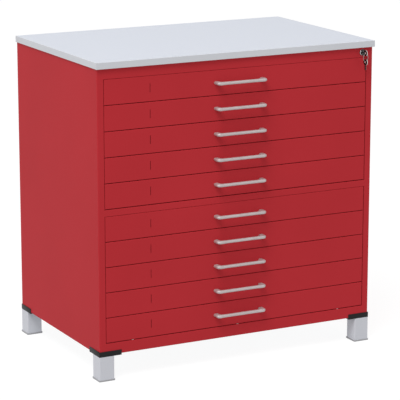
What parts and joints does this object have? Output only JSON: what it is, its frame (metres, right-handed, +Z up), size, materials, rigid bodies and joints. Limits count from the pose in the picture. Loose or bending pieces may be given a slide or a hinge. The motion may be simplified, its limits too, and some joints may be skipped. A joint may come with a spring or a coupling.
{
  "type": "flat file cabinet",
  "caption": "Low steel plan chest with shallow full-width drawers on telescopic slides, bow handles, a lock in the top rail, an overhanging worktop and square corner legs.",
  "frame": {"origin": "on the floor, under the middle of the overall box", "axes": "+Z up, -Y towards the front, so drawers pull out along -Y, +X to the right as seen from the front"},
  "size_m": [1.0086, 0.669, 1.029],
  "materials": {
    "red_paint": "satin powder coat",
    "worktop_laminate": "laminated board, satin",
    "satin_metal": "satin",
    "leg_paint": "silver-grey powder coat",
    "foot_plastic": "moulded",
    "bracket_plastic": "moulded, fine grain",
    "zinc_steel": "bright zinc plate",
    "fastener_steel": "zinc plate",
    "lock_black": "black, satin",
    "lock_nickel": "nickel plate",
    "nylon": "white nylon"
  },
  "bodies": {
    "cabinet": {"left_side_panel": "red_paint", "right_side_panel": "red_paint", "back_panel": "red_paint", "top_panel": "red_paint", "bottom_panel": "zinc_steel", "top_rail": "red_paint", "middle_rail": "red_paint", "bottom_rail": "red_paint", "rail_buffers": "nylon", "worktop": "worktop_laminate", "slide_uprights": "zinc_steel", "cabinet_slides": "zinc_steel", "leg_brackets": "bracket_plastic", "legs": "leg_paint", "leg_feet": "foot_plastic", "carcase_fasteners": "fastener_steel", "lock_housing": "lock_black"},
    "lock_core": {"lock_plug": "lock_nickel", "lock_key": "lock_nickel"},
    "lock_bar": {"lock_bar": "zinc_steel"},
    "drawer_01": {"drawer_01_front": "red_paint", "drawer_01_tray": "red_paint", "drawer_01_handle": "satin_metal"},
    "slides_01": {"drawer_01_slides": "zinc_steel"},
    "drawer_02": {"drawer_02_front": "red_paint", "drawer_02_tray": "red_paint", "drawer_02_handle": "satin_metal"},
    "slides_02": {"drawer_02_slides": "zinc_steel"},
    "drawer_03": {"drawer_03_front": "red_paint", "drawer_03_tray": "red_paint", "drawer_03_handle": "satin_metal"},
    "slides_03": {"drawer_03_slides": "zinc_steel"},
    "drawer_04": {"drawer_04_front": "red_paint", "drawer_04_tray": "red_paint", "drawer_04_handle": "satin_metal"},
    "slides_04": {"drawer_04_slides": "zinc_steel"},
    "drawer_05": {"drawer_05_front": "red_paint", "drawer_05_tray": "red_paint", "drawer_05_handle": "satin_metal"},
    "slides_05": {"drawer_05_slides": "zinc_steel"},
    "drawer_06": {"drawer_06_front": "red_paint", "drawer_06_tray": "red_paint", "drawer_06_handle": "satin_metal"},
    "slides_06": {"drawer_06_slides": "zinc_steel"},
    "drawer_07": {"drawer_07_front": "red_paint", "drawer_07_tray": "red_paint", "drawer_07_handle": "satin_metal"},
    "slides_07": {"drawer_07_slides": "zinc_steel"},
    "drawer_08": {"drawer_08_front": "red_paint", "drawer_08_tray": "red_paint", "drawer_08_handle": "satin_metal"},
    "slides_08": {"drawer_08_slides": "zinc_steel"},
    "drawer_09": {"drawer_09_front": "red_paint", "drawer_09_tray": "red_paint", "drawer_09_handle": "satin_metal"},
    "slides_09": {"drawer_09_slides": "zinc_steel"},
    "drawer_10": {"drawer_10_front": "red_paint", "drawer_10_tray": "red_paint", "drawer_10_handle": "satin_metal"},
    "slides_10": {"drawer_10_slides": "zinc_steel"}
  },
  "joints": [
    {"name": "drawer_01_slide", "type": "slide", "parent": "cabinet", "child": "drawer_01", "axis": [0, -1, 0], "range_m": [0, 0.56]},
    {"name": "slides_01_follow", "type": "slide", "parent": "cabinet", "child": "slides_01", "axis": [0, -1, 0], "range_m": [0, 0.28]},
    {"name": "drawer_02_slide", "type": "slide", "parent": "cabinet", "child": "drawer_02", "axis": [0, -1, 0], "range_m": [0, 0.56]},
    {"name": "slides_02_follow", "type": "slide", "parent": "cabinet", "child": "slides_02", "axis": [0, -1, 0], "range_m": [0, 0.28]},
    {"name": "drawer_03_slide", "type": "slide", "parent": "cabinet", "child": "drawer_03", "axis": [0, -1, 0], "range_m": [0, 0.56]},
    {"name": "slides_03_follow", "type": "slide", "parent": "cabinet", "child": "slides_03", "axis": [0, -1, 0], "range_m": [0, 0.28]},
    {"name": "drawer_04_slide", "type": "slide", "parent": "cabinet", "child": "drawer_04", "axis": [0, -1, 0], "range_m": [0, 0.56]},
    {"name": "slides_04_follow", "type": "slide", "parent": "cabinet", "child": "slides_04", "axis": [0, -1, 0], "range_m": [0, 0.28]},
    {"name": "drawer_05_slide", "type": "slide", "parent": "cabinet", "child": "drawer_05", "axis": [0, -1, 0], "range_m": [0, 0.56]},
    {"name": "slides_05_follow", "type": "slide", "parent": "cabinet", "child": "slides_05", "axis": [0, -1, 0], "range_m": [0, 0.28]},
    {"name": "drawer_06_slide", "type": "slide", "parent": "cabinet", "child": "drawer_06", "axis": [0, -1, 0], "range_m": [0, 0.56]},
    {"name": "slides_06_follow", "type": "slide", "parent": "cabinet", "child": "slides_06", "axis": [0, -1, 0], "range_m": [0, 0.28]},
    {"name": "drawer_07_slide", "type": "slide", "parent": "cabinet", "child": "drawer_07", "axis": [0, -1, 0], "range_m": [0, 0.56]},
    {"name": "slides_07_follow", "type": "slide", "parent": "cabinet", "child": "slides_07", "axis": [0, -1, 0], "range_m": [0, 0.28]},
    {"name": "drawer_08_slide", "type": "slide", "parent": "cabinet", "child": "drawer_08", "axis": [0, -1, 0], "range_m": [0, 0.56]},
    {"name": "slides_08_follow", "type": "slide", "parent": "cabinet", "child": "slides_08", "axis": [0, -1, 0], "range_m": [0, 0.28]},
    {"name": "drawer_09_slide", "type": "slide", "parent": "cabinet", "child": "drawer_09", "axis": [0, -1, 0], "range_m": [0, 0.56]},
    {"name": "slides_09_follow", "type": "slide", "parent": "cabinet", "child": "slides_09", "axis": [0, -1, 0], "range_m": [0, 0.28]},
    {"name": "drawer_10_slide", "type": "slide", "parent": "cabinet", "child": "drawer_10", "axis": [0, -1, 0], "range_m": [0, 0.56]},
    {"name": "slides_10_follow", "type": "slide", "parent": "cabinet", "child": "slides_10", "axis": [0, -1, 0], "range_m": [0, 0.28]},
    {"name": "lock_turn", "type": "hinge", "parent": "cabinet", "child": "lock_core", "pos_m": [0.462, -0.3045, 0.99115], "axis": [0, -1, 0], "range_deg": [0, 90]},
    {"name": "lock_bar_lift", "type": "slide", "parent": "cabinet", "child": "lock_bar", "axis": [0, 0, 1], "range_m": [0, 0.01555]}
  ],
  "couplings": [
    {"joint": "slides_01_follow", "follows": "drawer_01_slide", "ratio": 0.5},
    {"joint": "slides_02_follow", "follows": "drawer_02_slide", "ratio": 0.5},
    {"joint": "slides_03_follow", "follows": "drawer_03_slide", "ratio": 0.5},
    {"joint": "slides_04_follow", "follows": "drawer_04_slide", "ratio": 0.5},
    {"joint": "slides_05_follow", "follows": "drawer_05_slide", "ratio": 0.5},
    {"joint": "slides_06_follow", "follows": "drawer_06_slide", "ratio": 0.5},
    {"joint": "slides_07_follow", "follows": "drawer_07_slide", "ratio": 0.5},
    {"joint": "slides_08_follow", "follows": "drawer_08_slide", "ratio": 0.5},
    {"joint": "slides_09_follow", "follows": "drawer_09_slide", "ratio": 0.5},
    {"joint": "slides_10_follow", "follows": "drawer_10_slide", "ratio": 0.5},
    {"joint": "lock_turn", "follows": "lock_bar_lift", "rad_per_m": 100.97}
  ]
}
